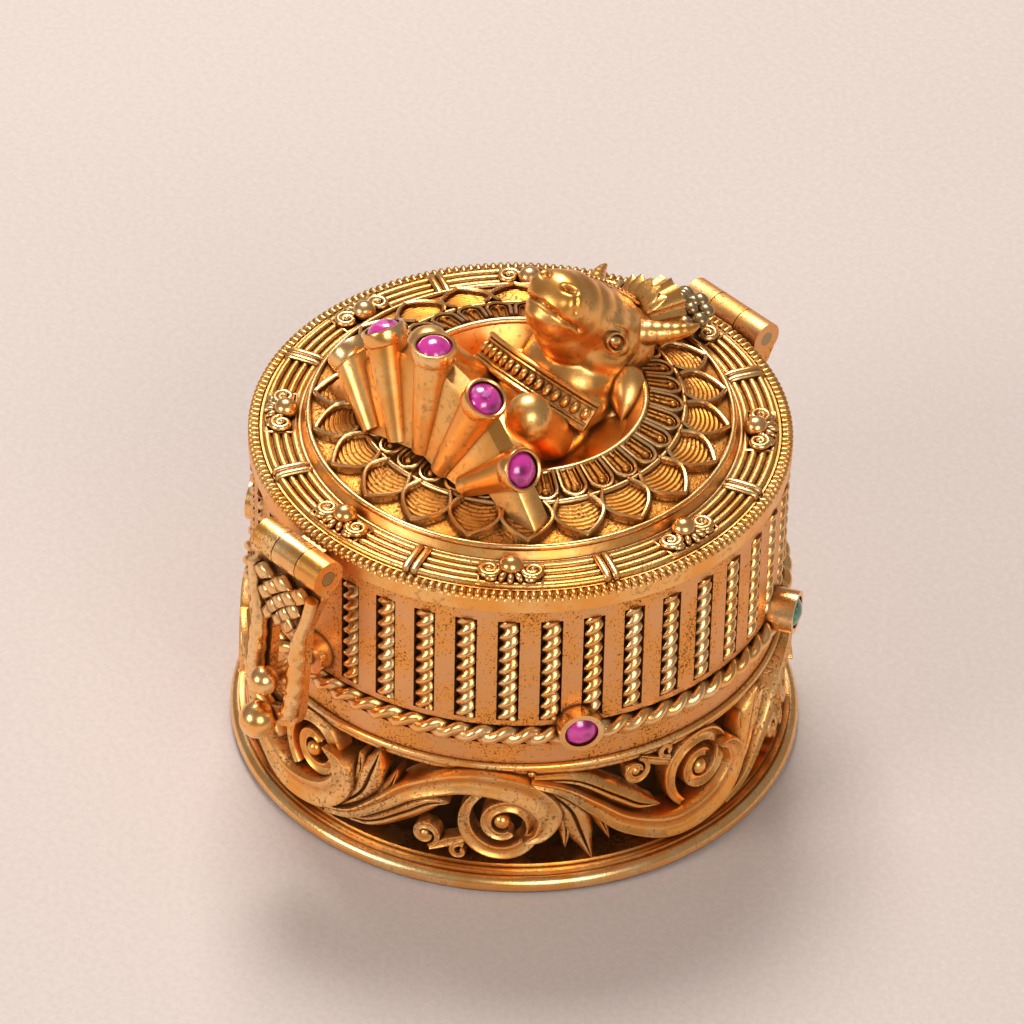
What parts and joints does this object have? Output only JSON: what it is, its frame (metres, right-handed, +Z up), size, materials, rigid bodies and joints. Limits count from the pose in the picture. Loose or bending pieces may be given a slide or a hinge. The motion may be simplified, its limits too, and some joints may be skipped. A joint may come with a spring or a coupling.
{
  "type": "sindoor box",
  "caption": "Round footed gold trinket box for vermilion powder, with a hinged lotus lid carrying a bull figure and a jewelled fan, and a swinging hasp over a ball post.",
  "frame": {"origin": "centre of the foot's flat underside, on the box's axis", "axes": "+Z up along the box's axis, +Y towards the lid hinge, -Y towards the hasp, +X to the right of the hinge"},
  "size_m": [0.0538, 0.0623, 0.0503],
  "materials": {
    "antique_gold": "antique matte gold with dark patina in the recesses",
    "polished_gold": "worn bright gold on the high spots",
    "dark_gold": "dark tarnished gold",
    "ruby": "polished foil-backed red-pink stone",
    "emerald": "polished foil-backed green stone"
  },
  "bodies": {
    "box": {"foot_ring": "antique_gold", "foot_plate": "dark_gold", "scroll_gallery": "antique_gold", "drum_wall": "antique_gold", "drum_floor": "dark_gold", "rope_columns": "polished_gold", "rope_band": "polished_gold", "inner_rim": "dark_gold", "drum_bezels": "polished_gold", "drum_rubies": "ruby", "drum_emeralds": "emerald", "clasp_post": "polished_gold", "box_knuckle_left": "antique_gold", "box_knuckle_right": "antique_gold", "hinge_pin": "dark_gold"},
    "lid": {"lid_shell": "antique_gold", "milled_rim": "antique_gold", "band_wires": "polished_gold", "band_ties": "antique_gold", "band_clips": "polished_gold", "lotus_petals": "antique_gold", "petal_loops": "polished_gold", "loop_beads": "polished_gold", "well_rim_wire": "polished_gold", "fan_webs": "antique_gold", "fan_cones": "antique_gold", "fan_stones": "ruby", "bull_neck": "antique_gold", "bull_head": "antique_gold", "bull_forelegs": "antique_gold", "bull_ears": "antique_gold", "bull_horns": "polished_gold", "bull_necklace": "polished_gold", "bull_headdress": "dark_gold", "lid_knuckle": "antique_gold", "clasp_knuckle": "antique_gold", "clasp_pin": "dark_gold"},
    "hasp": {"hasp_plate": "antique_gold", "hasp_ball": "polished_gold"}
  },
  "joints": [
    {"name": "lid_hinge", "type": "hinge", "parent": "box", "child": "lid", "pos_m": [0, 0.0269, 0.0329], "axis": [-1, 0, 0], "range_deg": [0, 105]},
    {"name": "hasp_hinge", "type": "hinge", "parent": "lid", "child": "hasp", "pos_m": [0, -0.0273, 0.033], "axis": [-1, 0, 0], "range_deg": [0, 120]}
  ]
}
